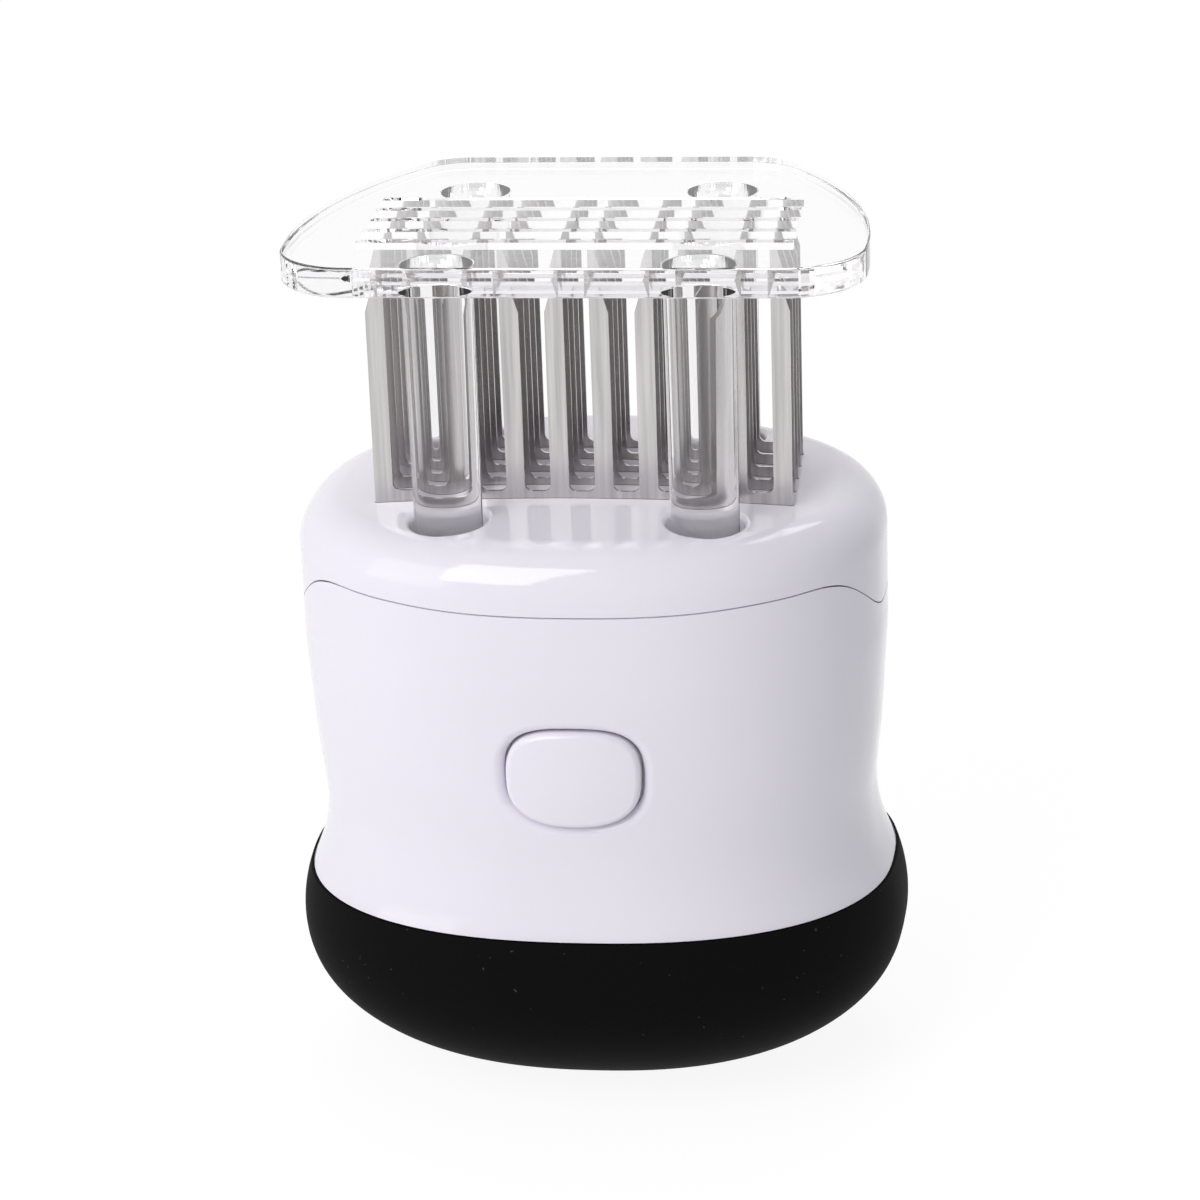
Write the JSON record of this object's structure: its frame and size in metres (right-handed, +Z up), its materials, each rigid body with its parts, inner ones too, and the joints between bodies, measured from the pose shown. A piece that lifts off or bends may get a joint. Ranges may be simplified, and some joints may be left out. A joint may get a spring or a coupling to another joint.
{
  "type": "meat tenderizer",
  "caption": "Hand-held blade meat tenderizer: waisted oval handle on a rounded palm grip, rows of toothed blade strips standing on a domed cap, and a sprung clear guard plate on posts.",
  "frame": {"origin": "middle of the flat foot, on the surface the tool stands on", "axes": "+Z up from the palm grip to the guard plate, -Y the front with the release button, +X right"},
  "size_m": [0.1062, 0.0813, 0.1497],
  "materials": {
    "white_gloss": "glossy white moulded plastic",
    "black_grip": "matt black soft grip",
    "black_core": "dark moulded plastic",
    "grey_core": "grey moulded plastic",
    "blade_steel": "ground stainless strip, grain along the teeth",
    "spring_steel": "bright spring steel",
    "zinc_steel": "plated steel",
    "clear_guard": "clear moulded plastic"
  },
  "bodies": {
    "handle": {"handle_shell": "white_gloss", "palm_grip": "black_grip", "grip_core": "black_core", "base_screws": "zinc_steel", "latch_leaf": "spring_steel", "latch_screws": "zinc_steel"},
    "release_button": {"release_button": "white_gloss"},
    "blade_cartridge": {"cartridge_cap": "white_gloss", "spring_housing": "white_gloss", "blade_carrier": "grey_core", "tie_rods": "zinc_steel", "rod_clips": "spring_steel", "cap_screws": "zinc_steel", "blade_strip_1": "blade_steel", "blade_strip_2": "blade_steel", "blade_strip_3": "blade_steel", "blade_strip_4": "blade_steel", "blade_strip_5": "blade_steel", "guard_spring_front_left": "spring_steel", "guard_spring_front_right": "spring_steel", "guard_spring_rear_left": "spring_steel", "guard_spring_rear_right": "spring_steel"},
    "guard": {"clear_guard": "clear_guard", "post_collars": "grey_core", "post_screws": "zinc_steel"}
  },
  "joints": [
    {"name": "cartridge_lift", "type": "slide", "parent": "handle", "child": "blade_cartridge", "axis": [0, 0, 1], "range_m": [0, 0.055], "deforming": ["latch_leaf"]},
    {"name": "release_press", "type": "slide", "parent": "handle", "child": "release_button", "axis": [0, 1, 0], "range_m": [0, 0.0025], "stiffness_N_per_m": 600, "springref_m": -0.002, "deforming": ["latch_leaf"]},
    {"name": "guard_press", "type": "slide", "parent": "blade_cartridge", "child": "guard", "axis": [0, 0, -1], "range_m": [0, 0.034], "stiffness_N_per_m": 350, "springref_m": -0.012, "deforming": ["guard_spring_front_left", "guard_spring_front_right", "guard_spring_rear_left", "guard_spring_rear_right"]}
  ]
}
